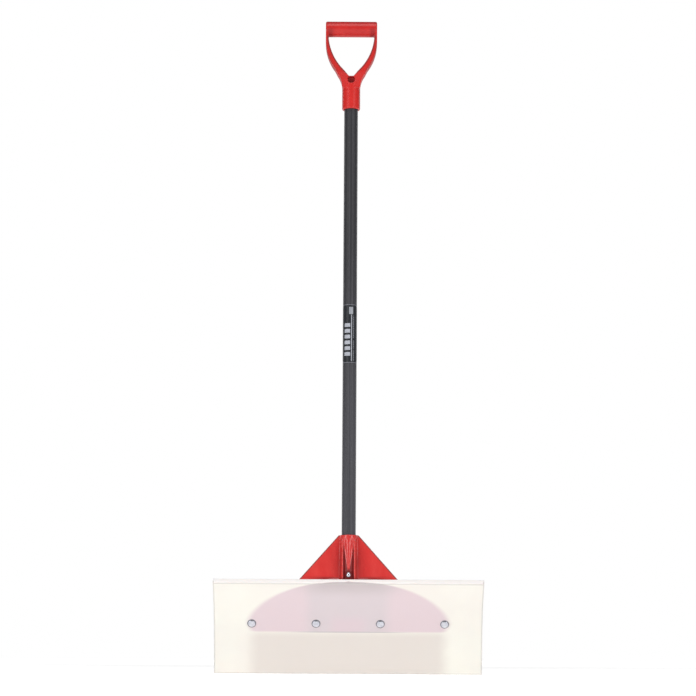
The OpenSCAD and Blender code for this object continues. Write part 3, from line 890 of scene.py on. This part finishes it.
def carriageBolt(index):
    node = f"blade_bolt_{index}"
    radius = bladeShape["radius"]
    angle = bladeShape["boltRise"] / radius
    head = domeProfile(bladeBolt["headD"], bladeBolt["headH"])
    loops = [circleLoop(r, h, boltSides) for r, h in head]
    half = bladeBolt["neck"] / 2
    loops.append(squareLoop(half, 0.0001))
    loops.append(squareLoop(half, bladeBolt["neckH"] - 0.0005))
    loops.append(squareLoop(half * 0.96, bladeBolt["neckH"], corner=0.4))
    loops += threadedShank(
        bladeBolt["neckH"] + 0.0005, bladeBolt["end"] - bladeBolt["seat"],
        bladeBolt["threadD"], bladeBolt["pitch"],
    )
    verts, faces = loftLoops(loops)
    spot = Vector((middle(node).x, arcY + radius * math.cos(angle), radius * math.sin(angle)))
    matrix = (
        Matrix.Translation(spot) @ Matrix.Rotation(angle - math.pi / 2, 4, "X")
        @ Matrix.Translation((0, 0, bladeBolt["seat"]))
    )
    piece = addPiece(f"carriageBolt{index}", placed(verts, matrix), faces, boltSteel)
    sharpenBy(piece, 38)
    way = (matrix.to_3x3() @ Vector((0, 0, 1))).normalized()
    ring = [bladeBolt["headD"] * share for share in (rimShade["from"], rimShade["to"])]
    darkRim(piece, spot, way, *ring, 0.001)
    keep(piece, "bright_steel", node)


for number in range(1, 5):
    carriageBolt(number)


def throughBolt():
    low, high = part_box("handle_bolt")
    spot = middle("handle_bolt")
    start = Vector((spot.x, low.y + tubeBolt["headH"], spot.z))
    length = high.y - start.y
    shank = tubeBolt["threadD"] / 2
    plain = [(shank, 0.0001), (shank, length * 0.5)]
    head = domeProfile(tubeBolt["headD"], tubeBolt["headH"])
    loops = [circleLoop(r, h, boltSides) for r, h in head + plain]
    loops += threadedShank(length * 0.5 + 0.0003, length, tubeBolt["threadD"], tubeBolt["pitch"])
    verts, faces = loftLoops(loops)
    matrix = Matrix.Translation(start) @ Matrix.Rotation(-math.pi / 2, 4, "X")
    piece = addPiece("throughBolt", placed(verts, matrix), faces, boltSteel)
    sharpenBy(piece, 38)
    keep(piece, "bright_steel", "handle_bolt")


throughBolt()
hardwareEdges = {"width": 0.00022, "steps": 2, "from": 35}


def finishHardware():
    # washers, nuts, rings and the screw keep their own solids, with softened edges
    for name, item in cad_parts.items():
        if "insert" in name:
            look = ringNylon
        elif "washer" in name or "nut" in name or name == "grip_screw":
            look = zincSteel
        else:
            continue
        for slot in item.material_slots:
            slot.material = look.material
        soft = item.modifiers.new("softEdges", "BEVEL")
        soft.width = hardwareEdges["width"]
        soft.segments = hardwareEdges["steps"]
        soft.limit_method = "ANGLE"
        soft.angle_limit = math.radians(hardwareEdges["from"])
        soft.harden_normals = False


finishHardware()
print("snow pusher: bolts and nuts fitted")


studio = {
    "floor": (0.93, 0.93, 0.93),
    "glow": 0.46,          # the floor's own light near the tool, so that it stays white
    "farGlow": 0.84,       # and far away from it
    "reach": 16.0,         # radius of the floor
    "cloud": (0.95, 0.95, 0.945),
    "sky": 0.22,
}
frontAim, backAim = (0, -0.05, 0.5), (0, 0.05, 0.5)
softLights = {
    "leftSoftbox": {"spot": (-1.9, -2.3, 1.1), "aim": frontAim, "size": (1.2, 2.2), "power": 23.0},
    "rightSoftbox": {"spot": (1.9, -2.3, 1.1), "aim": frontAim, "size": (1.2, 2.2), "power": 18.5},
    "overhead": {"spot": (0.0, -3.1, 6.0), "aim": frontAim, "size": (4.8, 2.4), "power": 150.0},
    "backLeft": {"spot": (-2.1, 2.5, 1.3), "aim": backAim, "size": (1.2, 2.2), "power": 16.0},
    "backRight": {"spot": (2.1, 2.5, 1.3), "aim": backAim, "size": (1.2, 2.2), "power": 16.0},
}


def paleFloor():
    # wide round floor, open on every side
    look = Finish("paleFloor")
    cloud = look.noise(1.6, 2.0)
    away = (look.x * look.x + look.y * look.y) ** 0.5
    look.set(
        Base_Color=look.mix(cloud * 0.3, studio["floor"], studio["cloud"]), Roughness=0.85,
        Normal=look.relief(look.noise(500.0, 2.0), 0.02, 0.0005), Emission_Strength=1.0,
        Emission_Color=look.mix(away.fade(2.5, 5.5), (studio["glow"],) * 3, (studio["farGlow"],) * 3),
    )
    verts, faces = turnProfile([(studio["reach"], -0.01), (studio["reach"], 0.0)], 96)
    floor = addPiece("paleFloor", verts, faces, look)
    sharpenBy(floor, 30)


paleFloor()


def softLight(name, spot, aim, size, power):
    lamp = bpy.data.lights.new(name, "AREA")
    lamp.shape = "RECTANGLE"
    lamp.size, lamp.size_y = size
    lamp.energy = power
    holder = bpy.data.objects.new(name, lamp)
    bpy.context.scene.collection.objects.link(holder)
    holder.location = spot
    holder.rotation_euler = (Vector(aim) - Vector(spot)).to_track_quat("-Z", "Y").to_euler()


for lightName, light in softLights.items():
    softLight(lightName, **light)


def whiteRoom():
    # soft light all round; the room itself looks white
    world = bpy.data.worlds.new("whiteRoom")
    bpy.context.scene.world = world
    world.use_nodes = True
    tree = world.node_tree
    tree.nodes.clear()
    ray = tree.nodes.new("ShaderNodeLightPath")
    level = tree.nodes.new("ShaderNodeMapRange")
    level.inputs["To Min"].default_value = studio["sky"]
    level.inputs["To Max"].default_value = 1.0
    room = tree.nodes.new("ShaderNodeBackground")
    room.inputs["Color"].default_value = (1.0, 1.0, 1.0, 1.0)
    output = tree.nodes.new("ShaderNodeOutputWorld")
    tree.links.new(ray.outputs["Is Camera Ray"], level.inputs["Value"])
    tree.links.new(level.outputs["Result"], room.inputs["Strength"])
    tree.links.new(room.outputs[0], output.inputs["Surface"])


whiteRoom()
bpy.context.scene.view_settings.view_transform = "Standard"


frontView = {
    "spot": (-0.0040, -4.70, 0.040),
    "pitch": 8.602,        # degrees up
    "roll": 0.33,
    "lens": 105.41,
    "clip": (0.05, 60.0),
}


def standCamera():
    pitch, roll = math.radians(frontView["pitch"]), math.radians(frontView["roll"])
    side = Vector((1.0, 0.0, 0.0))
    look = Vector((0.0, math.cos(pitch), math.sin(pitch)))
    top = Vector((0.0, -math.sin(pitch), math.cos(pitch)))
    right = side * math.cos(roll) + top * math.sin(roll)
    crown = top * math.cos(roll) - side * math.sin(roll)
    lens = bpy.data.cameras.new("frontView")
    lens.sensor_width = 36.0
    lens.lens = frontView["lens"]
    lens.clip_start, lens.clip_end = frontView["clip"]
    camera = bpy.data.objects.new("frontView", lens)
    bpy.context.scene.collection.objects.link(camera)
    turn = Matrix((right, crown, -look)).transposed()
    camera.matrix_world = Matrix.Translation(frontView["spot"]) @ turn.to_4x4()
    bpy.context.scene.camera = camera


standCamera()
print("snow pusher: studio lit")
